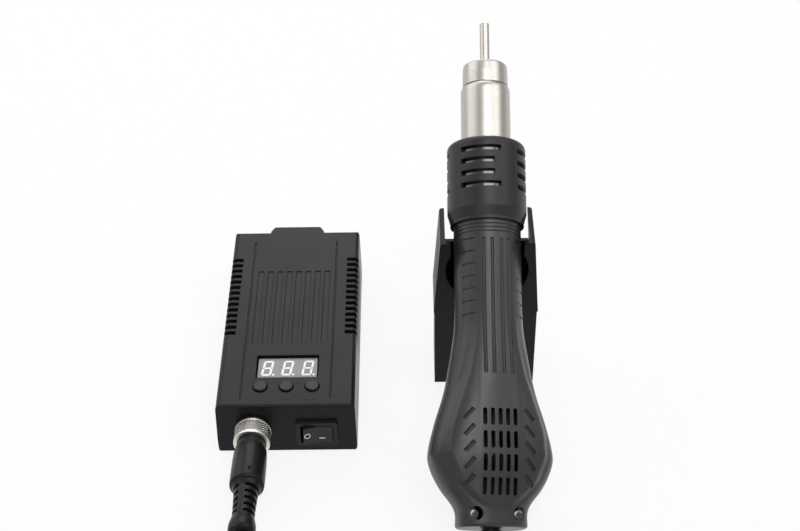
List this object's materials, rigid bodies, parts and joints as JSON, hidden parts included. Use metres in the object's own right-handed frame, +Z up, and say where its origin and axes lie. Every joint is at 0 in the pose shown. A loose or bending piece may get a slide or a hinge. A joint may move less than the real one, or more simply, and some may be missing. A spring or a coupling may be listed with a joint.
{
  "type": "hot air rework station",
  "caption": "Hot air rework station: slim control box with display, buttons and rocker, hot air gun on a plugged cord, and the open-topped holder that the gun lies in.",
  "frame": {"origin": "middle of the footprint of box, gun and holder on the table, without the cord", "axes": "+Z up, +Y from the socket and switch end of the box to its mains inlet, +X to the gun's side"},
  "size_m": [0.1655, 0.3326, 0.154],
  "materials": {
    "shell": "satin",
    "handle": "satin",
    "holder": "satin",
    "dark_plastic": "satin",
    "rocker": "gloss",
    "rubber": "matte",
    "button": "gloss",
    "display": "gloss",
    "board": "satin",
    "capacitor": "gloss",
    "ceramic": "matte",
    "mica": "satin",
    "aluminium": "satin",
    "brass": "satin",
    "zinc": "satin",
    "ring": "satin",
    "socket": "satin",
    "steel": "brushed"
  },
  "bodies": {
    "station": {"case_top": "shell", "case_base": "shell", "rubber_feet": "rubber", "case_screws": "zinc", "display_board": "board", "display_module": "display", "tact_switches": "dark_plastic", "power_board": "board", "transformer": "dark_plastic", "capacitors": "capacitor", "heat_sink": "aluminium", "triac": "dark_plastic", "fuse": "ceramic", "rocker_frame": "dark_plastic", "mains_inlet": "dark_plastic", "inlet_pins": "brass", "panel_socket": "socket", "socket_nut": "zinc", "plug_body": "rubber", "plug_sleeve": "rubber", "cord_to_coil": "rubber", "cord_coil": "rubber", "cord_to_gun": "rubber", "holder_body": "holder", "holder_back": "holder", "holder_screws": "zinc"},
    "button_left": {"button_left": "button"},
    "button_middle": {"button_middle": "button"},
    "button_right": {"button_right": "button"},
    "rocker": {"rocker_paddle": "rocker"},
    "ring": {"coupling_ring": "ring"},
    "gun": {"gun_sleeve": "rubber", "handle_upper": "handle", "handle_lower": "handle", "handle_screws": "zinc", "vent_collar": "handle", "heat_shield": "steel", "heater_tube": "steel", "mica_sleeve": "mica", "heater_core": "ceramic", "blower_housing": "dark_plastic", "blower_motor": "zinc"},
    "nozzle": {"nozzle": "steel"},
    "fan": {"fan_wheel": "dark_plastic"}
  },
  "joints": [
    {"name": "button_left_press", "type": "slide", "parent": "station", "child": "button_left", "axis": [0, 0, -1], "range_m": [0, 0.0005], "stiffness_N_per_m": 400},
    {"name": "button_middle_press", "type": "slide", "parent": "station", "child": "button_middle", "axis": [0, 0, -1], "range_m": [0, 0.0005], "stiffness_N_per_m": 400},
    {"name": "button_right_press", "type": "slide", "parent": "station", "child": "button_right", "axis": [0, 0, -1], "range_m": [0, 0.0005], "stiffness_N_per_m": 400},
    {"name": "rocker_tilt", "type": "hinge", "parent": "station", "child": "rocker", "pos_m": [-0.0323, -0.04224, 0.0128], "axis": [0, 0.1038, 0.9946], "range_deg": [-16, 0]},
    {"name": "ring_turn", "type": "hinge", "parent": "station", "child": "ring", "pos_m": [-0.0641, -0.04299, 0.0153], "axis": [0, -0.9946, 0.1038], "continuous": true},
    {"name": "gun_lift", "type": "slide", "parent": "station", "child": "gun", "axis": [0, 0, 1], "range_m": [0, 0.045]},
    {"name": "nozzle_pull", "type": "slide", "parent": "gun", "child": "nozzle", "axis": [0.011, 0.8386, 0.5446], "range_m": [0, 0.02]},
    {"name": "fan_spin", "type": "hinge", "parent": "gun", "child": "fan", "pos_m": [0.05268, -0.07515, 0.03084], "axis": [0.235, -0.5316, 0.8138], "continuous": true}
  ]
}
